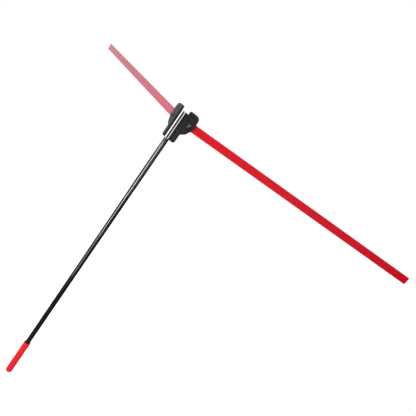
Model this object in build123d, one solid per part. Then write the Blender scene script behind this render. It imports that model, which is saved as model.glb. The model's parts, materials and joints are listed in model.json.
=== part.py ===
"""Folding cross-arm rod: a hand-held tube with a V-shaped head that carries two folding flat arms.

Frame: +Z up along the rod, origin at the rounded bottom end of the grip on the rod's axis.
The V of the head is the same on both sides of the YZ plane and opens towards +Y.
Each wing is drawn once in its own plane, as (distance from the rod's axis, height above the arms),
with depths measured towards the outer face of the V. The left side is the right side mirrored.
"""
import os

from build123d import *

# ---- driving dimensions, mm ----
ARM_HEIGHT = 1040.0          # arms' centre line above the bottom of the grip
WING_AZIMUTH = 30.0          # right wing's direction from +X, so the V holds 120 degrees

TUBE_R = 8.0
TUBE_WALL = 1.2
GRIP_R = 11.2
GRIP_LENGTH = 136.0
GRIP_LIP_R = 11.6
GRIP_LIP_H = 3.0
GRIP_SOLE = 14.0             # solid rubber below the tube's end

SLEEVE_R = 8.8
HEAD_TOP = 26.0              # above the arms' centre line
HEAD_BOTTOM = -67.0
FIT_GAP = 0.03               # between nested pieces of one body

WING_HALF = 9.5              # half the thickness of a wing
SLOT_HALF = 3.0              # half the width of the arm's slot
CHANNEL_DEPTH = 4.0          # outer face beside the sleeve
CHANNEL_EDGE = 13.0          # the core's cheek ends and the cover begins here
RIM_ROUND = 3.2
COVER_CORNER_ROUND = 1.0     # at both ends of the cover's straight inner edge
HUB_R = 13.5
HUB_TOP = 25.0

PIVOT_RHO = 34.0             # pivot's distance from the rod's axis
ARM_WIDTH = 25.0
ARM_THICK = 4.0
ARM_EDGE_ROUND = 1.9
ARM_TIP_RHO = 876.0
ARM_CLEAR = 0.5              # slot's web to the arm's path

BOLT_R = 4.0
BOLT_HEAD_R = 7.25
BOLT_HEAD_H = 6.0
BOLT_SQUARE = 8.0            # square neck under the head
BOLT_SQUARE_DEPTH = 4.0
BOLT_END = 12.6              # end of the thread behind the wing's middle plane
RUNNING_GAP = 0.05
BUSH_R = 5.5
FRICTION_WASHER_R = 10.4
WASHER_FACE_GAP = 0.05
NUT_FLATS = 13.0
NUT_POCKET_FLATS = 13.3
NUT_POCKET_FLOOR = 5.5       # from the wing's middle plane
NUT_H = 5.0
DISC_SPRING_R = 6.3
DISC_SPRING_BORE_R = 4.2
DISC_SPRING_H = 1.0
DISC_SPRING_THICK = 0.6

STOP_PIN_R = 2.5
STOP_PIN_RHO = 43.0
STOP_PIN_REACH = 7.5         # each way from the wing's middle plane

SCREW_SPOTS = [(17.5, 11.0), (40.5, 22.5), (18.2, -20.0), (18.2, -57.0)]
SCREW_R = 2.0
SCREW_HEAD_R = 3.6
SCREW_HEAD_H = 2.4
SCREW_HEAD_ROUND = 0.9
SCREW_SOCKET = 2.5           # across flats
SCREW_SOCKET_DEPTH = 1.3
SCREW_SEAT = 6.2             # depth of the counterbore's floor from the middle plane
SCREW_TIP = 6.0
INSERT_R = 3.0
INSERT_TOP = 6.4
COUNTERBORE_R = 4.0

SET_SCREW_R = 2.5
SET_SCREW_Z = -42.0
SET_SCREW_START = 6.0
SET_SCREW_END = 13.2
SET_SCREW_SOCKET = 2.5
SET_SCREW_SOCKET_DEPTH = 3.0

PLUG_HEAD_H = 2.0
PLUG_DEPTH = 12.0
LONG = 200.0                 # longer than any cut needs


def depth_slab(outline, low, high):
    """The outline, drawn in the wing's plane, filled from one depth to another (outwards is positive)."""
    return extrude(Plane.XZ.offset(low) * outline, amount=high - low)


def depth_rod(radius, rho, z, low, high):
    """A round bar across the wing at (rho, z)."""
    return depth_slab(Pos(rho, z) * Circle(radius), low, high)


def depth_hexagon(flats, rho, z, low, high):
    """A hexagonal bar across the wing at (rho, z)."""
    hexagon = RegularPolygon(radius=flats / 2, side_count=6, major_radius=False)
    return depth_slab(Pos(rho, z) * hexagon, low, high)


def to_right(piece):
    """Take a piece from the wing's own frame to its place on the right of the rod."""
    return Pos(0, 0, ARM_HEIGHT) * Rot(0, 0, WING_AZIMUTH) * piece


def to_left(piece):
    """The same piece mirrored to the left of the rod."""
    return mirror(to_right(piece), about=Plane.YZ)


def save(name, *solids):
    """Write one node: a single solid or a group of like solids."""
    shape = solids[0] if len(solids) == 1 else Compound(children=list(solids))
    export_step(shape, f"parts/{name}.step")


# ---- rod ----
def upright_cylinder(radius, bottom, top):
    """A cylinder on the rod's axis between two heights."""
    return Pos(0, 0, bottom) * extrude(Circle(radius), amount=top - bottom)


def shaft_tube():
    """Thin tube from inside the grip to just below the sleeve's top."""
    top = ARM_HEIGHT + HEAD_TOP - PLUG_HEAD_H
    outer = upright_cylinder(TUBE_R, GRIP_SOLE, top)
    tube = outer - upright_cylinder(TUBE_R - TUBE_WALL, GRIP_SOLE, top)
    return tube - set_screw_bar(SET_SCREW_R + FIT_GAP)


def grip():
    """Dipped cap: hemispherical end, straight wall and a small rolled lip at the mouth."""
    wall = upright_cylinder(GRIP_R, GRIP_R, GRIP_LENGTH)
    dome = Pos(0, 0, GRIP_R) * Sphere(GRIP_R)
    lip = upright_cylinder(GRIP_LIP_R, GRIP_LENGTH - GRIP_LIP_H, GRIP_LENGTH)
    lip = fillet(lip.edges().filter_by(GeomType.CIRCLE), 1.2)
    return wall + dome + lip - upright_cylinder(TUBE_R + FIT_GAP, GRIP_SOLE, GRIP_LENGTH)


def lower_plug():
    """Push-in plug that keeps the tube's cut end from punching through the grip."""
    bore = TUBE_R - TUBE_WALL - FIT_GAP
    return upright_cylinder(bore, GRIP_SOLE, GRIP_SOLE + PLUG_DEPTH)


def upper_plug():
    """Push-in plug with a flat head, flush with the top of the sleeve."""
    top = ARM_HEIGHT + HEAD_TOP
    head = upright_cylinder(TUBE_R, top - PLUG_HEAD_H, top)
    spigot = upright_cylinder(TUBE_R - TUBE_WALL - FIT_GAP, top - PLUG_DEPTH, top - PLUG_HEAD_H)
    return head + spigot


def head_sleeve():
    """Plated sleeve round the tube over the full height of the head."""
    bottom = ARM_HEIGHT + HEAD_BOTTOM
    top = ARM_HEIGHT + HEAD_TOP
    outer = upright_cylinder(SLEEVE_R, bottom, top)
    return outer - upright_cylinder(TUBE_R + FIT_GAP, bottom, top) - set_screw_bar(SET_SCREW_R + FIT_GAP)


def set_screw_bar(radius):
    """Round bar along +Y at the set screw's height."""
    plane = Plane(origin=(0, SET_SCREW_START, ARM_HEIGHT + SET_SCREW_Z), x_dir=(1, 0, 0), z_dir=(0, 1, 0))
    return extrude(plane * Circle(radius), amount=SET_SCREW_END - SET_SCREW_START)


def head_set_screw():
    """Socket set screw from the back of the hub through the sleeve's and the tube's walls."""
    bottom = SET_SCREW_END - SET_SCREW_SOCKET_DEPTH
    plane = Plane(origin=(0, bottom, ARM_HEIGHT + SET_SCREW_Z), x_dir=(1, 0, 0), z_dir=(0, 1, 0))
    hexagon = RegularPolygon(radius=SET_SCREW_SOCKET / 2, side_count=6, major_radius=False)
    return set_screw_bar(SET_SCREW_R) - extrude(plane * hexagon, amount=SET_SCREW_SOCKET_DEPTH)


# ---- wings ----
WING_LOWER_CORNERS = [
    ((51, -2), 24),
    ((38, -27), 13),
    ((25, -36), 6),
    ((25, -68), 7),
    ((0, HEAD_BOTTOM), 0),
]
COVER_UPPER_CORNERS = [
    ((0, HEAD_TOP), 0),
    ((7, HEAD_TOP), 4),
    ((15.5, 38.5), 6),
    ((47, 37), 12),
]
CORE_UPPER_CORNERS = [
    ((0, HUB_TOP), 0),
    ((12, HUB_TOP), 4),
    ((17, 19), 3),
    ((30, 19), 6),
    ((37, 31), 5),
    ((47, 31), 6),
]


def wing_outline(upper_corners):
    """Lobe round the pivot above, narrow neck along the rod below: (corner, its fillet) clockwise."""
    corners = upper_corners + WING_LOWER_CORNERS
    points = [point for point, radius in corners]
    radii = [radius for point, radius in corners]
    return make_face(FilletPolyline(*points, radius=radii, close=True))


def arm_path():
    """All that the arm sweeps between level and folded down, with its clearance."""
    reach = ARM_WIDTH / 2 + ARM_CLEAR
    root = Pos(PIVOT_RHO, 0) * Circle(reach)
    beyond = Pos(PIVOT_RHO, reach) * Rectangle(LONG, LONG, align=(Align.MIN, Align.MAX))
    below = Pos(PIVOT_RHO - reach, 0) * Rectangle(LONG, LONG, align=(Align.MIN, Align.MAX))
    return root + beyond + below


def sleeve_space():
    """The sleeve's cylinder in the wing's own frame, with a fit gap."""
    height = HEAD_TOP - HEAD_BOTTOM + 2 * RIM_ROUND
    return Pos(0, 0, HEAD_BOTTOM - RIM_ROUND) * extrude(Circle(SLEEVE_R + FIT_GAP), amount=height)


def channel_strip():
    """The strip of the wing's plane beside the sleeve that the core's cheek fills."""
    return Pos(CHANNEL_EDGE, 0) * Rectangle(LONG, LONG, align=(Align.MAX, Align.CENTER))


def cover():
    """Outer half of a wing from the channel's edge outwards: a plate with a rounded rim."""
    outline = wing_outline(COVER_UPPER_CORNERS) - channel_strip()
    inner_corners = outline.vertices().sort_by(Axis.X)[:2]
    plate = depth_slab(fillet(inner_corners, COVER_CORNER_ROUND), SLOT_HALF, WING_HALF)
    plate = fillet(plate.faces().sort_by(Axis.Y)[0].edges(), RIM_ROUND)
    plate -= depth_rod(BOLT_R + RUNNING_GAP, PIVOT_RHO, 0, 0, LONG)
    neck = Pos(PIVOT_RHO, 0) * Rectangle(BOLT_SQUARE + FIT_GAP, BOLT_SQUARE + FIT_GAP)
    plate -= depth_slab(neck, WING_HALF - BOLT_SQUARE_DEPTH, LONG)
    plate -= depth_rod(STOP_PIN_R, STOP_PIN_RHO, stop_pin_height(), 0, STOP_PIN_REACH)
    for rho, z in SCREW_SPOTS:
        plate -= depth_rod(INSERT_R, rho, z, 0, INSERT_TOP)
    return plate


def cheek():
    """Low strip beside the sleeve, on the outer side, up to the cover's inner edge."""
    return depth_slab(wing_outline(CORE_UPPER_CORNERS) & channel_strip(), SLOT_HALF, CHANNEL_DEPTH)


def inner_wing():
    """Inner half of a wing, lower than its cover, with the web that closes the slot off the arm's path."""
    outline = wing_outline(CORE_UPPER_CORNERS)
    plate = depth_slab(outline, -WING_HALF, -SLOT_HALF)
    rim = plate.faces().sort_by(Axis.Y)[-1].edges().filter_by(lambda edge: edge.center().X > 12.0)
    plate = fillet(rim, RIM_ROUND)
    plate += depth_slab(outline - arm_path(), -SLOT_HALF, SLOT_HALF)
    plate += cheek()
    plate -= depth_rod(BOLT_R + RUNNING_GAP, PIVOT_RHO, 0, -LONG, 0)
    plate -= depth_hexagon(NUT_POCKET_FLATS, PIVOT_RHO, 0, -LONG, -NUT_POCKET_FLOOR)
    plate -= depth_rod(STOP_PIN_R, STOP_PIN_RHO, stop_pin_height(), -STOP_PIN_REACH, STOP_PIN_REACH)
    for rho, z in SCREW_SPOTS:
        plate -= depth_rod(SCREW_R + RUNNING_GAP, rho, z, -LONG, LONG)
        plate -= depth_rod(COUNTERBORE_R, rho, z, -LONG, -SCREW_SEAT)
    return plate


def hub():
    """Round back of the head behind both covers, in the rod's frame."""
    bottom = ARM_HEIGHT + HEAD_BOTTOM
    drum = upright_cylinder(HUB_R, bottom, ARM_HEIGHT + HUB_TOP)
    front = depth_slab(Rectangle(2 * LONG, 2 * LONG), SLOT_HALF, LONG)
    drum = drum - to_right(front) - to_left(front)
    for rho, z in SCREW_SPOTS:
        pocket = depth_rod(COUNTERBORE_R, rho, z, -LONG, -SCREW_SEAT)
        drum = drum - to_right(pocket) - to_left(pocket)
    return drum


def head_core():
    """V-shaped core: hub and both inner wing halves in one moulding."""
    wing = inner_wing()
    core = to_right(wing) + to_left(wing) + hub()
    core -= to_right(sleeve_space())
    return core - set_screw_bar(SET_SCREW_R + FIT_GAP)


def cover_screws():
    """Socket screws with rounded heads, from the inside of the V into the cover's inserts."""
    screws = []
    top = -SCREW_SEAT - SCREW_HEAD_H
    for rho, z in SCREW_SPOTS:
        head = depth_rod(SCREW_HEAD_R, rho, z, top, -SCREW_SEAT)
        head = fillet(head.edges().sort_by(Axis.Y)[-1], SCREW_HEAD_ROUND)
        head -= depth_hexagon(SCREW_SOCKET, rho, z, top, top + SCREW_SOCKET_DEPTH)
        screws.append(head + depth_rod(SCREW_R, rho, z, -SCREW_SEAT, SCREW_TIP))
    return screws


def cover_inserts():
    """Threaded brass inserts moulded into the cover."""
    inserts = []
    for rho, z in SCREW_SPOTS:
        barrel = depth_rod(INSERT_R, rho, z, SLOT_HALF, INSERT_TOP)
        inserts.append(barrel - depth_rod(SCREW_R, rho, z, SLOT_HALF, SCREW_TIP))
    return inserts


# ---- arm and hinge ----
def stop_pin_height():
    """Height of the stop pin: it just touches the level arm's upper edge."""
    return ARM_WIDTH / 2 + STOP_PIN_R + RUNNING_GAP


def arm():
    """Round-edged flat bar with a round root about the pivot and a square-cut tip."""
    length = ARM_TIP_RHO - PIVOT_RHO
    bar = Pos(PIVOT_RHO, 0) * Rectangle(length, ARM_WIDTH, align=(Align.MIN, Align.CENTER))
    bar += Pos(PIVOT_RHO, 0) * Circle(ARM_WIDTH / 2)
    blank = depth_slab(bar, -ARM_THICK / 2, ARM_THICK / 2)
    faces = blank.faces().sort_by(Axis.Y)
    long_edges = [edge for face in (faces[0], faces[-1]) for edge in face.edges()
                  if edge.center().X < ARM_TIP_RHO - 1]
    return fillet(long_edges, ARM_EDGE_ROUND) - depth_rod(BUSH_R, PIVOT_RHO, 0, -LONG, LONG)


def arm_bush():
    """Plain bush in the arm's pivot hole, running on the bolt."""
    ring = Pos(PIVOT_RHO, 0) * (Circle(BUSH_R) - Circle(BOLT_R + RUNNING_GAP))
    return depth_slab(ring, -ARM_THICK / 2, ARM_THICK / 2)


def pivot_bolt():
    """Dome-head bolt with a square neck, head on the outer face."""
    sphere_r = (BOLT_HEAD_R ** 2 + BOLT_HEAD_H ** 2) / (2 * BOLT_HEAD_H)
    centre_depth = WING_HALF + BOLT_HEAD_H - sphere_r
    dome = Pos(PIVOT_RHO, -centre_depth, 0) * Sphere(sphere_r)
    dome &= depth_rod(BOLT_HEAD_R, PIVOT_RHO, 0, WING_HALF, LONG)
    neck = Pos(PIVOT_RHO, 0) * Rectangle(BOLT_SQUARE, BOLT_SQUARE)
    square = depth_slab(neck, WING_HALF - BOLT_SQUARE_DEPTH, WING_HALF)
    return dome + square + depth_rod(BOLT_R, PIVOT_RHO, 0, -BOLT_END, WING_HALF)


def friction_washers():
    """Two flat washers that grip the arm between the slot's walls."""
    face = ARM_THICK / 2 + WASHER_FACE_GAP
    ring = Pos(PIVOT_RHO, 0) * (Circle(FRICTION_WASHER_R) - Circle(BOLT_R + RUNNING_GAP))
    return [depth_slab(ring, face, SLOT_HALF), depth_slab(ring, -SLOT_HALF, -face)]


def disc_spring():
    """Conical spring washer on the pocket's floor: a thin cone turned about the bolt's axis."""
    rise = DISC_SPRING_H - DISC_SPRING_THICK
    section = Polyline(
        (DISC_SPRING_BORE_R, rise),
        (DISC_SPRING_R, 0),
        (DISC_SPRING_R, DISC_SPRING_THICK),
        (DISC_SPRING_BORE_R, DISC_SPRING_H),
        close=True,
    )
    cone = revolve(Plane.XZ * make_face(section), axis=Axis.Z)
    return Pos(PIVOT_RHO, NUT_POCKET_FLOOR, 0) * Rot(-90, 0, 0) * cone


def pivot_nut():
    """Hexagon nut that sits in the core's pocket and keeps the bolt from turning."""
    low = -NUT_POCKET_FLOOR - DISC_SPRING_H - NUT_H
    nut = depth_hexagon(NUT_FLATS, PIVOT_RHO, 0, low, low + NUT_H)
    return nut - depth_rod(BOLT_R, PIVOT_RHO, 0, -LONG, LONG)


def stop_pin():
    """Dowel across the slot that carries the level arm's upper edge."""
    return depth_rod(STOP_PIN_R, STOP_PIN_RHO, stop_pin_height(), -STOP_PIN_REACH, STOP_PIN_REACH)


def main():
    """Write every node."""
    os.makedirs("parts", exist_ok=True)
    save("shaft_tube", shaft_tube())
    save("grip", grip())
    save("shaft_lower_plug", lower_plug())
    save("shaft_upper_plug", upper_plug())
    save("head_sleeve", head_sleeve())
    save("head_set_screw", head_set_screw())
    save("head_core", head_core())
    for side, place in (("right", to_right), ("left", to_left)):
        save(f"{side}_cover", place(cover()))
        save(f"{side}_cover_screws", *[place(screw) for screw in cover_screws()])
        save(f"{side}_cover_inserts", *[place(insert) for insert in cover_inserts()])
        save(f"{side}_arm", place(arm()))
        save(f"{side}_arm_bush", place(arm_bush()))
        save(f"{side}_pivot_bolt", place(pivot_bolt()))
        save(f"{side}_friction_washers", *[place(washer) for washer in friction_washers()])
        save(f"{side}_disc_spring", place(disc_spring()))
        save(f"{side}_pivot_nut", place(pivot_nut()))
        save(f"{side}_stop_pin", place(stop_pin()))


main()
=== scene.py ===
"""Folding cross-arm rod: a hand-held enamelled tube whose V-shaped head carries two folding flat arms."""
import json

import bmesh
import bpy
import numpy as np
from mathutils import Matrix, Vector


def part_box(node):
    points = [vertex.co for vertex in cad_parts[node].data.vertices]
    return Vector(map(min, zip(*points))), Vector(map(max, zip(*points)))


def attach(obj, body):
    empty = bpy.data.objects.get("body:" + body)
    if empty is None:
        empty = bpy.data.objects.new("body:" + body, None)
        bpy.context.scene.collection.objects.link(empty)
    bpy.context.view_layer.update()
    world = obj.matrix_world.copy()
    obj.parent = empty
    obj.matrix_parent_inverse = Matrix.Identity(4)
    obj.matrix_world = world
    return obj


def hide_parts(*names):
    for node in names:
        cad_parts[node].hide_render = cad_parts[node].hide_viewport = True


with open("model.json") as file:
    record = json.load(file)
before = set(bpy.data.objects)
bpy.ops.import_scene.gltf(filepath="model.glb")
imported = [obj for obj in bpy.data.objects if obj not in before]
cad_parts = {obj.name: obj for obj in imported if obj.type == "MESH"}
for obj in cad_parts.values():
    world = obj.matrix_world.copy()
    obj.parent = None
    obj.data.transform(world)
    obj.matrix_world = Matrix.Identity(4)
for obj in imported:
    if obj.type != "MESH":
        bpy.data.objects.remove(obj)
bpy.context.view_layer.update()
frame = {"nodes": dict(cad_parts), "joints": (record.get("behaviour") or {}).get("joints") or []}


# ---- shaft tube ----
# Drawn steel tube of 16 mm, wall 1.2 mm, stove-enamelled gloss black. It runs from inside the grip
# to just under the top of the chrome sleeve, and one hole in its wall takes the head's set screw.
def turned(profile, segments=96):
    """Rings of points round an axis. Each row of the profile is (radius, height, flats): at the angle t the
    point is (radius cos t, radius sin t, height). Where the row has flats, the radius is first divided by
    the cosine of the angle to the nearest flat's middle, so the flats stand at that radius."""
    radius, height, flats = np.array(profile, float).T[:, :, None]
    turn = np.linspace(0, 2 * np.pi, segments, endpoint=False)[None, :]
    share = 2 * np.pi / np.maximum(flats, 1)
    off = np.where(flats > 0, (turn + share / 2) % share - share / 2, 0)
    reach = radius / np.cos(off)
    return np.stack([reach * np.cos(turn), reach * np.sin(turn), height + 0 * turn], axis=-1)


def skin(name, shells, joined=False, crease=32.0):
    """One closed surface for each shell of rings (rings x points x 3, in millimetres): quads join each ring
    to the next. The first and the last ring are filled, or joined to each other. Edges that turn by more
    than the crease angle, in degrees, stay sharp."""
    points, faces, start = [], [], 0
    for rings in shells:
        index = start + np.arange(rings.shape[0] * rings.shape[1]).reshape(rings.shape[:2])
        first = np.vstack([index, index[:1]]) if joined else index
        quads = np.stack([first[:-1], np.roll(first[:-1], -1, 1), np.roll(first[1:], -1, 1), first[1:]], -1)
        faces += quads.reshape(-1, 4).tolist()
        faces += [] if joined else [index[0].tolist(), index[-1].tolist()]
        points.append(rings.reshape(-1, 3) * 0.001)
        start += index.size
    mesh = bpy.data.meshes.new(name)
    mesh.from_pydata(np.concatenate(points).tolist(), [], faces)
    piece = bpy.data.objects.new(name, mesh)
    bpy.context.scene.collection.objects.link(piece)
    return smoothed(piece, crease)


def smoothed(piece, crease=32.0):
    """Weld coincident points, turn every face outwards and shade smoothly up to the crease angle."""
    work = bmesh.new()
    work.from_mesh(piece.data)
    bmesh.ops.remove_doubles(work, verts=work.verts, dist=2e-6)
    bmesh.ops.dissolve_degenerate(work, edges=work.edges, dist=1e-7)
    bmesh.ops.recalc_face_normals(work, faces=work.faces)
    work.to_mesh(piece.data)
    work.free()
    piece.data.shade_smooth()
    piece.data.set_sharp_from_angle(angle=np.radians(crease))
    return piece


def drilled(piece, bars):
    """Cut closed bars of rings out of a piece, with an exact boolean that is applied at once."""
    cutter = skin(piece.name + "_drill", bars)
    cut = piece.modifiers.new("drill", "BOOLEAN")
    cut.operation = "DIFFERENCE"
    cut.solver = "EXACT"
    cut.object = cutter
    bpy.context.view_layer.update()
    done = bpy.data.meshes.new_from_object(piece.evaluated_get(bpy.context.evaluated_depsgraph_get()))
    done.name = piece.name
    piece.modifiers.clear()
    piece.data = done
    bpy.data.objects.remove(cutter)
    return smoothed(piece)


def finish(name, sockets):
    """A new surface finish; what is the same all over is set on the shader's own sockets."""
    material = bpy.data.materials.new(name)
    material.use_nodes = True
    shader = material.node_tree.nodes["Principled BSDF"]
    for socket, value in sockets.items():
        shader.inputs[socket].default_value = value
    return material


def noise(material, grain, stretch=(1, 1, 1), detail=3.0):
    """Noise fixed to the piece: the grain is the size of its features in metres, and the stretch lengthens
    them along each axis."""
    nodes, links = material.node_tree.nodes, material.node_tree.links
    place = nodes.new("ShaderNodeTexCoord")
    scale = nodes.new("ShaderNodeMapping")
    scale.inputs["Scale"].default_value = [1 / s for s in stretch]
    pattern = nodes.new("ShaderNodeTexNoise")
    pattern.inputs["Scale"].default_value = 1 / grain
    pattern.inputs["Detail"].default_value = detail
    links.new(place.outputs["Object"], scale.inputs["Vector"])
    links.new(scale.outputs["Vector"], pattern.inputs["Vector"])
    return pattern.outputs["Fac"]


def varied(material, socket, pattern, low, high, start=0.3, end=0.7):
    """Spread one of the shader's numbers or colours from low to high as the pattern goes from start to
    end."""
    nodes, links = material.node_tree.nodes, material.node_tree.links
    if isinstance(low, tuple):
        spread = nodes.new("ShaderNodeValToRGB")
        for stop, position, colour in zip(spread.color_ramp.elements, (start, end), (low, high)):
            stop.position = position
            stop.color = colour
        links.new(pattern, spread.inputs["Fac"])
    else:
        spread = nodes.new("ShaderNodeMapRange")
        limits = {"From Min": start, "From Max": end, "To Min": low, "To Max": high}
        for key, value in limits.items():
            spread.inputs[key].default_value = value
        links.new(pattern, spread.inputs["Value"])
    links.new(spread.outputs[0], nodes["Principled BSDF"].inputs[socket])


def relief(material, pattern, height, over=None):
    """Raise the pattern by its height in metres, over another relief's normal where one is given."""
    nodes, links = material.node_tree.nodes, material.node_tree.links
    bump = nodes.new("ShaderNodeBump")
    bump.inputs["Distance"].default_value = height
    links.new(pattern, bump.inputs["Height"])
    if over is not None:
        links.new(over.outputs["Normal"], bump.inputs["Normal"])
    links.new(bump.outputs["Normal"], nodes["Principled BSDF"].inputs["Normal"])
    return bump


def fitted(piece, material, body, slot, *nodes):
    """Finish a piece, let it move with its body and stand for the CAD nodes that it details."""
    piece.data.materials.clear()
    piece.data.materials.append(material)
    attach(piece, body)
    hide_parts(*nodes)
    return piece


enamel = finish("shaft_enamel", {"IOR": 1.5, "Coat Weight": 1.0, "Coat Roughness": 0.05, "Coat IOR": 1.6})
varied(enamel, "Base Color", noise(enamel, 0.05), (0.004, 0.004, 0.005, 1), (0.009, 0.009, 0.0095, 1))
varied(enamel, "Roughness", noise(enamel, 0.002, (1, 1, 30)), 0.16, 0.24)
peel = relief(enamel, noise(enamel, 0.0016), 0.000004)
relief(enamel, noise(enamel, 0.03, (1, 1, 4)), 0.00003, peel)

TUBE_RADIUS, TUBE_BORE, TUBE_LENGTH = 8.0, 6.8, 1050.0
tube_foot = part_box("shaft_tube")[0].z * 1000
tube_rows = [(TUBE_BORE, 0.8), (TUBE_BORE, 0.3), (7.1, 0), (7.8, 0), (TUBE_RADIUS, 0.2)]
tube_rows += [(TUBE_RADIUS, h) for h in np.linspace(1, TUBE_LENGTH - 1, 60)]
tube_rows += [(TUBE_RADIUS, TUBE_LENGTH - 0.2), (7.8, TUBE_LENGTH), (7.0, TUBE_LENGTH),
              (TUBE_BORE, TUBE_LENGTH - 0.2), (TUBE_BORE, TUBE_LENGTH - 1)]
tube = skin("shaft_tube_enamelled", [turned([(r, tube_foot + h, 0) for r, h in tube_rows])], joined=True)


SET_SCREW_HEIGHT = sum(corner.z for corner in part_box("head_set_screw")) * 500


def at_set_screw(rings):
    """Turned rings laid along +Y at the set screw's height: (x, y, height) becomes (x, height, y + the
    set screw's height)."""
    return np.stack([rings[..., 0], rings[..., 2], rings[..., 1] + SET_SCREW_HEIGHT], -1)


SET_SCREW_HOLE = 2.53
set_screw_bore = at_set_screw(turned([(SET_SCREW_HOLE, 5, 0), (SET_SCREW_HOLE, 14, 0)], 32))
drilled(tube, [set_screw_bore])
fitted(tube, enamel, "rod", "rod_black", "shaft_tube")


# ---- grip ----
# Cap of soft red vinyl, dipped over the tube's end: a round end, a wall that is never quite even, and a
# small lip rolled at the mouth. It holds the tube by its own stretch.
GRIP_RADIUS, GRIP_BORE, GRIP_SOLE = 11.1, 8.03, 14
LIP = 0.4
GRIP_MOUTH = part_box("grip")[1].z * 1000
grip_profile = [(GRIP_RADIUS * np.sin(a), GRIP_RADIUS * (1 - np.cos(a)) + 0.05, 0)
                for a in np.linspace(0, np.pi / 2, 20)]
grip_profile += [(GRIP_RADIUS, h, 0) for h in np.linspace(GRIP_SOLE, GRIP_MOUTH - 4.2, 60)]
grip_profile += [(GRIP_RADIUS + 0.05 + LIP * np.sin(a), GRIP_MOUTH - 2 - 1.8 * np.cos(a), 0)
                 for a in np.linspace(0, np.pi * 0.85, 14)]
grip_profile += [(10.2, GRIP_MOUTH - 0.05, 0), (8.8, GRIP_MOUTH, 0), (8.1, GRIP_MOUTH - 0.5, 0),
                 (GRIP_BORE, GRIP_MOUTH - 2, 0), (GRIP_BORE, GRIP_SOLE, 0), (0, GRIP_SOLE, 0)]


def dipped(rings):
    """Thin the wall a little, in slow waves round and along: the radius shrinks by up to 0.15 mm with the
    product of a sine of the angle and a sine of the height, fading out at the foot and inside the bore."""
    radius = np.hypot(rings[..., 0], rings[..., 1])
    turn = np.arctan2(rings[..., 1], rings[..., 0])
    height = rings[..., 2]
    wave = 0.5 + 0.25 * np.sin(2 * turn + height * 0.09) + 0.25 * np.sin(3 * turn - height * 0.05 + 1)
    fade = np.clip((height - 2) / 12, 0, 1) * np.clip((radius - 10.3) / 0.5, 0, 1)
    scale = 1 - 0.15 * wave * fade / np.maximum(radius, 1)
    return rings * np.stack([scale, scale, np.ones_like(scale)], -1)


vinyl = finish("dipped_red_vinyl", {"IOR": 1.52, "Specular IOR Level": 0.18, "Subsurface Weight": 0.05,
                                    "Subsurface Radius": (0.003, 0.0006, 0.0005)})
varied(vinyl, "Base Color", noise(vinyl, 0.03), (0.49, 0.003, 0.009, 1), (0.56, 0.006, 0.014, 1))
varied(vinyl, "Roughness", noise(vinyl, 0.006), 0.30, 0.42)
pits = relief(vinyl, noise(vinyl, 0.0009), 0.00002)
relief(vinyl, noise(vinyl, 0.012), 0.00025, pits)
grip = skin("dipped_grip", [dipped(turned(grip_profile))], crease=60.0)
fitted(grip, vinyl, "rod", "grip_vinyl", "grip")


# ---- tube plugs ----
# Black polyethylene plugs pushed into both ends of the tube. The upper one has a flat head with a
# moulded dimple, level with the top of the sleeve; the lower one is out of sight inside the grip.
moulded = finish("plug_polyethylene", {"IOR": 1.51})
varied(moulded, "Base Color", noise(moulded, 0.008), (0.012, 0.012, 0.012, 1), (0.022, 0.022, 0.023, 1))
varied(moulded, "Roughness", noise(moulded, 0.004), 0.42, 0.56)
relief(moulded, noise(moulded, 0.0006), 0.00002)

plug_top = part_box("shaft_upper_plug")[1].z * 1000
upper_rows = [(0, -0.5), (1.6, -0.45), (2.4, -0.1), (2.9, 0), (7.2, 0), (7.6, -0.1), (7.9, -0.5),
              (7.95, -1.9), (6.75, -2), (6.72, -11.4), (6.2, -12), (0, -12)]
upper_plug = skin("tube_plug_upper", [turned([(r, plug_top + h, 0) for r, h in upper_rows], 64)])
fitted(upper_plug, moulded, "rod", "plug_plastic", "shaft_upper_plug")
plug_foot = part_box("shaft_lower_plug")[0].z * 1000
lower_rows = [(0, 0), (6.2, 0), (6.75, 0.5), (6.75, 11.4), (6.2, 12), (5, 12), (5, 3), (0, 3)]
lower_plug = skin("tube_plug_lower", [turned([(r, plug_foot + h, 0) for r, h in lower_rows], 64)])
fitted(lower_plug, moulded, "rod", "plug_plastic", "shaft_lower_plug")


# ---- chrome sleeve ----
# Thin steel sleeve, bright chrome plated, slid over the tube's top end. A set screw through the head's
# hub holds it, and it shows as a polished strip in the channel between the two covers.
chrome = finish("bright_chrome", {"Metallic": 1.0, "Base Color": (0.80, 0.81, 0.83, 1)})
varied(chrome, "Roughness", noise(chrome, 0.003, (1, 1, 8)), 0.05, 0.11)
relief(chrome, noise(chrome, 0.01, (1, 1, 3)), 0.000005)
sleeve_foot, sleeve_top = (corner.z * 1000 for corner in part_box("head_sleeve"))
SLEEVE_BORE, SLEEVE_RADIUS = 8.03, 8.8
end_rows = [(SLEEVE_BORE, 1), (SLEEVE_BORE, 0.3), (8.15, 0.06), (8.4, 0), (8.65, 0.07)]
end_rows += [(SLEEVE_RADIUS, h) for h in (0.35, 0.8, 8)]
sleeve_rows = [(r, sleeve_foot + h, 0) for r, h in end_rows]
sleeve_rows += [(r, sleeve_top - h, 0) for r, h in end_rows[::-1]]
sleeve = skin("chrome_sleeve", [turned(sleeve_rows)], joined=True, crease=50.0)
drilled(sleeve, [set_screw_bore])
fitted(sleeve, chrome, "rod", "sleeve_chrome", "head_sleeve")


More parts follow.
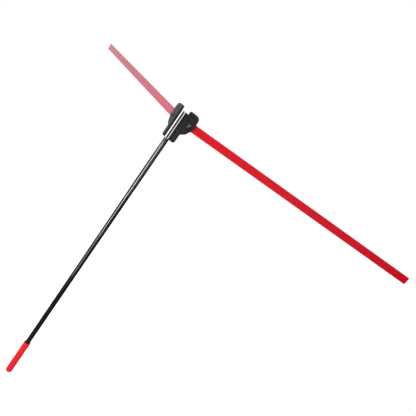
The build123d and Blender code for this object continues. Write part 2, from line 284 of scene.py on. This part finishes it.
# ---- head core ----
# Black glass-filled nylon moulding: the hub round the sleeve with both inner wing halves in one piece.
# Its surface has the fine spark-eroded grain of the mould, rubbed a little smoother on the high spots.
nylon = finish("textured_nylon", {"IOR": 1.5, "Specular IOR Level": 0.42})
varied(nylon, "Base Color", noise(nylon, 0.015), (0.007, 0.007, 0.0075, 1), (0.012, 0.012, 0.0125, 1))
varied(nylon, "Roughness", noise(nylon, 0.006, detail=5.0), 0.29, 0.38)
eroded = relief(nylon, noise(nylon, 0.0004, detail=2.0), 0.000022)
relief(nylon, noise(nylon, 0.02), 0.00012, eroded)
core = frame["nodes"]["head_core"]
core.data.materials.clear()
core.data.materials.append(nylon)


# ---- covers ----
# Outer halves of the wings, in the same textured nylon: plates of 6.5 mm with a rounded rim. Each is held
# by four screws from the back, and a fine parting line shows where it meets the core.
pivot = np.array(next(j for j in frame["joints"] if j["name"] == "right_arm_fold")["pos_m"]) * 1000
WING_TURN = np.arctan2(pivot[1], pivot[0])
PIVOT_ALONG = np.hypot(pivot[0], pivot[1])


def on_wing(points, side):
    """From a wing's own frame (distance from the rod's axis, height above the pivots, depth towards the outer
    face) to the head: turned about the rod by the wing's angle; the left wing is the right one mirrored."""
    along, height, depth = np.moveaxis(points, -1, 0)
    x = along * np.cos(WING_TURN) + depth * np.sin(WING_TURN)
    y = along * np.sin(WING_TURN) - depth * np.cos(WING_TURN)
    return np.stack([side * x, y, height + pivot[2]], -1)


def outline(corners, inset, steps=10):
    """Points clockwise round an outline whose corners are (along, height, radius). Every side is moved
    inwards by its inset. Where two moved sides meet, an arc in equal steps of angle has the corner's radius
    less the inset, or plus it where the outline turns inwards."""
    point, radius = corners[:, :2], corners[:, 2]
    side = np.roll(point, -1, 0) - point
    side /= np.linalg.norm(side, axis=1, keepdims=True)
    inward = np.stack([side[:, 1], -side[:, 0]], 1)
    before, inward_before = np.roll(side, 1, 0), np.roll(inward, 1, 0)
    after_move = inset * np.ones(len(point))
    before_move = np.roll(after_move, 1)
    cosine = (inward_before * inward).sum(1)
    turn = np.arctan2(before[:, 0] * side[:, 1] - before[:, 1] * side[:, 0], (before * side).sum(1))
    lift = (before_move - after_move * cosine) / (1 - cosine ** 2)
    slide = (after_move - before_move * cosine) / (1 - cosine ** 2)
    corner = point + lift[:, None] * inward_before + slide[:, None] * inward
    bend = np.maximum(radius + np.sign(turn) * np.maximum(before_move, after_move), 0)
    start = corner - before * (bend * np.tan(np.abs(turn) / 2))[:, None]
    centre = start - inward_before * (np.sign(turn) * bend)[:, None]
    arm = start - centre
    angle = turn[:, None] * np.linspace(0, 1, steps + 1)
    cos, sin = np.cos(angle), np.sin(angle)
    x = centre[:, :1] + arm[:, :1] * cos - arm[:, 1:] * sin
    y = centre[:, 1:] + arm[:, :1] * sin + arm[:, 1:] * cos
    return np.stack([x.ravel(), y.ravel()], 1)


def plate(corners, rows, shares=1.0):
    """Rings of a flat plate: one outline for each row (inset, depth), with the inset of each side multiplied
    by that side's share."""
    corners = np.array(corners, float)
    rings = []
    for inset, depth in rows:
        ring = outline(corners, inset * np.array(shares))
        rings.append(np.column_stack([ring, np.full(len(ring), depth)]))
    return np.stack(rings)


COVER_CORNERS = [(13, 34.82, 1), (15.5, 38.5, 6), (47, 37, 12), (51, -2, 24), (38, -27, 13), (25, -36, 6),
                 (25, -68, 7), (13, -67.52, 1)]
SCREW_SPOTS = [(17.5, 11), (40.5, 22.5), (18.2, -20), (18.2, -57)]
RIM, COVER_INNER, COVER_OUTER = 3.2, 3.0, 9.5
COVER_SHARES = [1, 1, 1, 1, 1, 1, 1, 0.45]
rim_turn = np.linspace(0, np.pi / 2, 9)
cover_rows = [(0.6, COVER_INNER), (0.25, COVER_INNER), (0.07, COVER_INNER + 0.08), (0, COVER_INNER + 0.3)]
cover_rows += [(0, 5)]
cover_rows += [(RIM * (1 - np.cos(a)), COVER_OUTER - RIM + RIM * np.sin(a)) for a in rim_turn]
cover_rows += [(RIM + 0.5, COVER_OUTER)]


def standing(profile, spot, segments=48):
    """Turned rings set across the wing at (distance from the rod, height), their axis along the depth."""
    return turned(profile, segments) + np.array([spot[0], spot[1], 0])


PIVOT_SPOT = (PIVOT_ALONG, 0)
PIN_SPOT = (43.0, 15.05)
BORE_START = 2.0
BOLT_HOLE, NECK_HOLE, NECK_FLOOR = 4.05, 4.015, 5.48
INSERT_RADIUS, INSERT_TOP = 3.0, 6.4
PIN_RADIUS, PIN_REACH = 2.5, 7.5
cover_bores = [standing([(BOLT_HOLE, BORE_START, 0), (BOLT_HOLE, NECK_FLOOR, 0), (NECK_HOLE, NECK_FLOOR, 4),
                         (NECK_HOLE, 12, 4)], PIVOT_SPOT)]
cover_bores += [standing([(INSERT_RADIUS, BORE_START, 0), (INSERT_RADIUS, INSERT_TOP, 0)], spot, 32)
                for spot in SCREW_SPOTS]
cover_bores += [standing([(PIN_RADIUS, BORE_START, 0), (PIN_RADIUS, PIN_REACH, 0)], PIN_SPOT, 32)]
SIDES = (("right", 1), ("left", -1))
for name, side in SIDES:
    cover = skin(f"{name}_wing_cover", [on_wing(plate(COVER_CORNERS, cover_rows, COVER_SHARES), side)])
    drilled(cover, [on_wing(bore, side) for bore in cover_bores])
    fitted(cover, nylon, "rod", "head_plastic", f"{name}_cover")


# ---- screws, inserts and stop pins ----
# Zinc-plated socket screws with rounded heads sit in counterbores at the back of each wing and thread
# into brass inserts moulded in the cover. A plain dowel above each arm is its stop.
zinc = finish("zinc_plate", {"Metallic": 1.0})
varied(zinc, "Base Color", noise(zinc, 0.003), (0.48, 0.49, 0.50, 1), (0.62, 0.62, 0.61, 1))
varied(zinc, "Roughness", noise(zinc, 0.0008), 0.26, 0.42)
relief(zinc, noise(zinc, 0.0005), 0.000008)
brass = finish("turned_brass", {"Metallic": 1.0, "Base Color": (0.72, 0.50, 0.20, 1)})
varied(brass, "Roughness", noise(brass, 0.0006), 0.25, 0.4)

HEAD_ROUND = 0.9
screw_rows = [(0, 6, 0), (1.6, 6, 0), (2, 5.6, 0), (2, -6.2, 0), (3.5, -6.2, 0), (3.6, -6.35, 0)]
screw_rows += [(3.6, -7.7, 0)]
screw_rows += [(2.7 + HEAD_ROUND * np.cos(a), -7.7 - HEAD_ROUND * np.sin(a), 0)
               for a in np.linspace(0.2, np.pi / 2, 6)]
screw_rows += [(1.6, -8.6, 0), (1.25, -8.45, 6), (1.25, -7.4, 6), (0, -7.15, 0)]
insert_rows = [(2, 3, 0), (2.8, 3, 0), (INSERT_RADIUS, 3.2, 0), (INSERT_RADIUS, 6.2, 0),
               (2.8, INSERT_TOP, 0), (2, INSERT_TOP, 0)]
pin_rows = [(0, -PIN_REACH, 0), (2.1, -PIN_REACH, 0), (PIN_RADIUS, -7.1, 0), (PIN_RADIUS, 7.1, 0),
            (2.1, PIN_REACH, 0), (0, PIN_REACH, 0)]
for name, side in SIDES:
    screws = [on_wing(standing(screw_rows, spot), side) for spot in SCREW_SPOTS]
    fitted(skin(f"{name}_socket_screws", screws), zinc, "rod", "screw_steel", f"{name}_cover_screws")
    inserts = [on_wing(standing(insert_rows, spot), side) for spot in SCREW_SPOTS]
    fitted(skin(f"{name}_brass_inserts", inserts, joined=True), brass, "rod", "insert_brass",
           f"{name}_cover_inserts")
    pin = skin(f"{name}_stop_dowel", [on_wing(standing(pin_rows, PIN_SPOT, 32), side)])
    fitted(pin, zinc, "rod", "screw_steel", f"{name}_stop_pin")

set_screw_rows = [(0, 6, 0), (1.4, 6, 0), (2.5, 7, 0), (2.5, 12.9, 0), (2.2, 13.2, 0), (1.5, 13.2, 0),
                  (1.25, 13.0, 6), (1.25, 10.2, 6), (0, 10.2, 0)]
set_screw = skin("head_socket_set_screw", [at_set_screw(turned(set_screw_rows, 48))])
fitted(set_screw, zinc, "rod", "screw_steel", "head_set_screw")


# ---- hinge stack ----
# Each arm is gripped between two acetal washers; a cone spring under the nut keeps them pressed. The
# cup-head bolt is black-oxided and oiled, with a square neck in the cover and an M8 thread.
acetal = finish("natural_acetal", {"IOR": 1.48})
varied(acetal, "Base Color", noise(acetal, 0.004), (0.72, 0.71, 0.66, 1), (0.80, 0.79, 0.75, 1))
varied(acetal, "Roughness", noise(acetal, 0.001), 0.35, 0.5)
oxide = finish("oiled_black_oxide", {"IOR": 1.5, "Coat Weight": 0.7, "Coat Roughness": 0.04, "Coat IOR": 1.6})
varied(oxide, "Base Color", noise(oxide, 0.002), (0.006, 0.006, 0.007, 1), (0.013, 0.013, 0.015, 1))
varied(oxide, "Roughness", noise(oxide, 0.001), 0.14, 0.24)
relief(oxide, noise(oxide, 0.0008), 0.000006)

WASHER_FACES = (2.05, -3.0)
washer_rows = [(BOLT_HOLE, 0), (10.2, 0), (10.4, 0.15), (10.4, 0.8), (10.2, 0.95), (BOLT_HOLE, 0.95)]
SPRING_FACE = -5.5
spring_rows = [(4.2, 0.4), (6.2, 0), (6.3, 0.05), (6.3, 0.5), (6.2, 0.6), (4.25, 1.0), (4.2, 0.95)]
THREAD_PITCH, THREAD_RADIUS, THREAD_DEPTH = 1.25, 3.95, 0.6
BOLT_END = -12.6
CUP_RADIUS, CUP_CENTRE = 7.38, 8.12
cup_rows = [(CUP_RADIUS * np.sin(a), CUP_CENTRE + CUP_RADIUS * np.cos(a), 0)
            for a in np.radians(np.linspace(0, 75, 24))]
cup_rows += [(7.22, 9.85, 0), (7.2, 9.65, 0), (7.0, COVER_OUTER, 0), (4.0, COVER_OUTER, 4), (4.0, 5.6, 4),
             (THREAD_RADIUS, 5.5, 0), (THREAD_RADIUS, -2.0, 0)]


def threaded(top, end, radius=THREAD_RADIUS, depth=THREAD_DEPTH, segments=48):
    """Rings of a screw thread: the radius falls from the crest by the depth times a triangle wave of
    (height / pitch + angle / full turn), fading in below the top and chamfered to the core at the end."""
    height = np.arange(top, end, -THREAD_PITCH / 8)[:, None]
    turn = np.linspace(0, 2 * np.pi, segments, endpoint=False)[None, :]
    wave = np.abs(2 * ((height / THREAD_PITCH + turn / (2 * np.pi)) % 1) - 1)
    runout = np.clip((top - height) / 1.5, 0, 1)
    reach = np.minimum(radius - depth * wave * runout, radius - depth + (height - end) * 1.2)
    rings = np.stack([reach * np.cos(turn), reach * np.sin(turn), height + 0 * turn], -1)
    tip = turned([(radius - depth, end, 0)], segments)
    return np.concatenate([rings, tip])


def hexagon_nut(low, high, flats, bore, segments=96):
    """Closed rings of a nut: the outer radius is the smaller of the hexagon's radius at that angle and a 30
    degree cone from each face, which leaves the curved chamfers at the corners."""
    step = np.array([0, 0.12, 0.25, 0.4, 0.6, 0.9])
    height = np.concatenate([low + step, high - step[::-1]])
    cone = flats / 2 - 0.25 + np.minimum(height - low, high - height) / np.tan(np.radians(30))
    hexagon = turned([(flats / 2, h, 6) for h in height], segments)
    reach = np.hypot(hexagon[..., 0], hexagon[..., 1])
    hexagon[..., :2] *= (np.minimum(reach, cone[:, None]) / reach)[..., None]
    bores = turned([(bore, high - 0.4, 0), (bore, low + 0.4, 0)], segments)
    mouths = turned([(bore + 0.4, high, 0)], segments), turned([(bore + 0.4, low, 0)], segments)
    return np.concatenate([hexagon, mouths[0], bores, mouths[1]])


for name, side in SIDES:
    washers = [on_wing(standing([(r, face + h, 0) for r, h in washer_rows], PIVOT_SPOT, 72), side)
               for face in WASHER_FACES]
    fitted(skin(f"{name}_acetal_washers", washers, joined=True), acetal, "rod", "washer_plastic",
           f"{name}_friction_washers")
    spring = on_wing(standing([(r, SPRING_FACE - h, 0) for r, h in spring_rows], PIVOT_SPOT, 72), side)
    fitted(skin(f"{name}_cone_spring", [spring], joined=True), zinc, "rod", "screw_steel",
           f"{name}_disc_spring")
    nut = hexagon_nut(low=-11.5, high=-6.5, flats=13.0, bore=4.0) + np.array([PIVOT_ALONG, 0, 0])
    fitted(skin(f"{name}_hexagon_nut", [on_wing(nut, side)], joined=True), zinc, "rod", "screw_steel",
           f"{name}_pivot_nut")
    bolt = np.concatenate([turned(cup_rows, 48), threaded(-2.1, BOLT_END)]) + np.array([PIVOT_ALONG, 0, 0])
    fitted(skin(f"{name}_cup_head_bolt", [on_wing(bolt, side)]), oxide, "rod", "bolt_black",
           f"{name}_pivot_bolt")


# ---- arms ----
# Flat bars 25 x 4 mm with rolled edges, a round root about the pivot and a square-cut tip. The right arm is
# powder coated red; the left one is see-through, paler towards its tip. A brass bush is pressed in.
ARM_ROUND, ARM_HALF_WIDTH, ARM_FACE = 1.9, 12.5, 2.0
TIP_ROUND = 0.8
edge_turn = np.linspace(0, np.pi / 2, 7)
arm_rows = [(ARM_ROUND + 0.4, -ARM_FACE)]
arm_rows += [(ARM_ROUND * (1 - np.sin(a)), ARM_ROUND - ARM_FACE - ARM_ROUND * np.cos(a)) for a in edge_turn]
arm_rows += [(inset, -depth) for inset, depth in arm_rows[::-1]]
ARM_ROOT, ARM_TIP = PIVOT_ALONG - ARM_HALF_WIDTH, 876.0
ARM_CORNERS = [(ARM_ROOT, ARM_HALF_WIDTH, ARM_HALF_WIDTH), (ARM_TIP, ARM_HALF_WIDTH, TIP_ROUND),
               (ARM_TIP, -ARM_HALF_WIDTH, TIP_ROUND), (ARM_ROOT, -ARM_HALF_WIDTH, ARM_HALF_WIDTH)]
TIP_SHARE = 0.2

powder = finish("red_powder_coat", {"IOR": 1.5, "Specular IOR Level": 0.15})
varied(powder, "Base Color", noise(powder, 0.04), (0.50, 0.003, 0.012, 1), (0.55, 0.005, 0.015, 1))
varied(powder, "Roughness", noise(powder, 0.01), 0.34, 0.44)
relief(powder, noise(powder, 0.0012), 0.00003)

clear = finish("clear_red_plastic", {"IOR": 1.49, "Base Color": (0.50, 0.006, 0.055, 1),
                                     "Specular IOR Level": 0.25})
varied(clear, "Roughness", noise(clear, 0.01), 0.25, 0.38)
relief(clear, noise(clear, 0.005), 0.000006)
nodes, links = clear.node_tree.nodes, clear.node_tree.links
along_arm = nodes.new("ShaderNodeSeparateXYZ")
links.new(nodes.new("ShaderNodeTexCoord").outputs["Object"], along_arm.inputs[0])
varied(clear, "Alpha", along_arm.outputs["X"], 0.49, 0.65, start=-0.76, end=-0.04)

BUSH_RADIUS = 5.5
bush_rows = [(BOLT_HOLE, -1.9, 0), (4.2, -ARM_FACE, 0), (5.4, -ARM_FACE, 0), (BUSH_RADIUS, -1.9, 0),
             (BUSH_RADIUS, 1.9, 0), (5.4, ARM_FACE, 0), (4.2, ARM_FACE, 0), (BOLT_HOLE, 1.9, 0)]
for (name, side), coat, slot in zip(SIDES, (powder, clear), ("arm_red", "arm_clear_red")):
    bar = plate(ARM_CORNERS, arm_rows, [1, TIP_SHARE, 1, 1])
    arm = skin(f"{name}_flat_arm", [on_wing(bar, side)])
    drilled(arm, [on_wing(standing([(BUSH_RADIUS, -3, 0), (BUSH_RADIUS, 3, 0)], PIVOT_SPOT, 64), side)])
    fitted(arm, coat, f"{name}_arm_body", slot, f"{name}_arm")
    bush = skin(f"{name}_pressed_bush", [on_wing(standing(bush_rows, PIVOT_SPOT, 64), side)], joined=True)
    fitted(bush, brass, f"{name}_arm_body", "insert_brass", f"{name}_arm_bush")


# ---- studio ----
# White floor under soft light: one softbox on the left, one on the right, two overhead, and three strips
# in front, one above the other, that light the shaft. The surroundings are dark low down, bright overhead.
paper = finish("studio_floor", {"Base Color": (0.93, 0.93, 0.93, 1), "Roughness": 0.9,
                                "Specular IOR Level": 0.1})
FLOOR_RADIUS = 2600
ring = turned([(FLOOR_RADIUS, 0, 0)], 96)[0] * 0.001
floor_mesh = bpy.data.meshes.new("floor")
floor_mesh.from_pydata(ring.tolist(), [], [list(range(len(ring)))])
floor_mesh.materials.append(paper)
floor = bpy.data.objects.new("floor", floor_mesh)
bpy.context.scene.collection.objects.link(floor)
floor.visible_glossy = False


def softbox(name, azimuth, distance, height, width, tall, radiance, tilt=0.0):
    """A rectangular light at an azimuth about the rod, in degrees, facing the rod at its own height and
    tilted down by some degrees. Its power is radiance x pi x width x tall."""
    lamp = bpy.data.lights.new(name, "AREA")
    lamp.shape = "RECTANGLE"
    lamp.size, lamp.size_y = width, tall
    lamp.energy = radiance * np.pi * width * tall
    turn = np.radians(azimuth)
    away = np.array([np.cos(turn), np.sin(turn), 0.0])
    down = np.radians(tilt)
    back = away * np.cos(down) + np.array([0, 0, np.sin(down)])
    across = np.array([-away[1], away[0], 0.0])
    up = np.cross(back, across)
    box = bpy.data.objects.new(name, lamp)
    box.matrix_world = Matrix([[across[i], up[i], back[i], (away * distance)[i]] for i in range(3)]
                              + [[0, 0, 0, 1]])
    box.location.z = height
    box.visible_camera = False
    bpy.context.scene.collection.objects.link(box)
    return box


softbox("left_softbox", azimuth=-155, distance=1.5, height=1.2, width=2.1, tall=1.2, radiance=1.35)
softbox("right_softbox", azimuth=-31, distance=1.6, height=0.80, width=0.9, tall=1.1, radiance=1.0)
STRIPS = (("top", 0.54, 0.86, 14.0), ("middle", 0.34, 0.54, 10.0), ("low", 0.10, 0.34, 4.5))
for part, low, high, radiance in STRIPS:
    softbox(f"shaft_strip_{part}", azimuth=-91, distance=0.6, height=(low + high) / 2, width=0.2,
            tall=high - low, radiance=radiance)
softbox("front_overhead", azimuth=-60, distance=2.2, height=2.6, width=2.6, tall=1.6, radiance=1.4, tilt=40)
softbox("back_overhead", azimuth=115, distance=2.4, height=2.5, width=3.0, tall=1.6, radiance=2.2, tilt=38)

sky = bpy.data.worlds.new("studio")
sky.use_nodes = True
bpy.context.scene.world = sky
nodes, links = sky.node_tree.nodes, sky.node_tree.links
nodes.clear()
seen, direction = nodes.new("ShaderNodeLightPath"), nodes.new("ShaderNodeTexCoord")
upward, climb = nodes.new("ShaderNodeSeparateXYZ"), nodes.new("ShaderNodeMapRange")
brightening = {"From Min": 0.1, "From Max": 0.7, "To Min": 0.03, "To Max": 1.3}
for key, value in brightening.items():
    climb.inputs[key].default_value = value
white, dim = nodes.new("ShaderNodeBackground"), nodes.new("ShaderNodeBackground")
chosen = nodes.new("ShaderNodeMixShader")
white.inputs["Color"].default_value = (1, 1, 1, 1)
dim.inputs["Color"].default_value = (1, 1, 1, 1)
links.new(direction.outputs["Generated"], upward.inputs[0])
links.new(upward.outputs["Z"], climb.inputs["Value"])
links.new(climb.outputs[0], dim.inputs["Strength"])
links.new(seen.outputs["Is Camera Ray"], chosen.inputs["Fac"])
links.new(dim.outputs[0], chosen.inputs[1])
links.new(white.outputs[0], chosen.inputs[2])
links.new(chosen.outputs[0], nodes.new("ShaderNodeOutputWorld").inputs["Surface"])
bpy.context.scene.view_settings.view_transform = "Standard"


# ---- camera ----
# A view from in front, to the right and a little above the arms, rolled so that the rod leans across the
# frame.
lens = bpy.data.cameras.new("camera")
lens.lens = 39.03
lens.sensor_width = 36.0
CAMERA_PLACE = (0.68061, -1.13983, 1.18194)
VIEW_AZIMUTH, VIEW_DOWN, VIEW_ROLL = np.radians([111.3517, 13.0906, 36.4764])
camera = bpy.data.objects.new("camera", lens)
camera.matrix_world = (Matrix.Translation(CAMERA_PLACE)
                       @ Matrix.Rotation(VIEW_AZIMUTH - np.pi / 2, 4, "Z")
                       @ Matrix.Rotation(np.pi / 2 - VIEW_DOWN, 4, "X")
                       @ Matrix.Rotation(VIEW_ROLL, 4, "Z"))
bpy.context.scene.collection.objects.link(camera)
bpy.context.scene.camera = camera
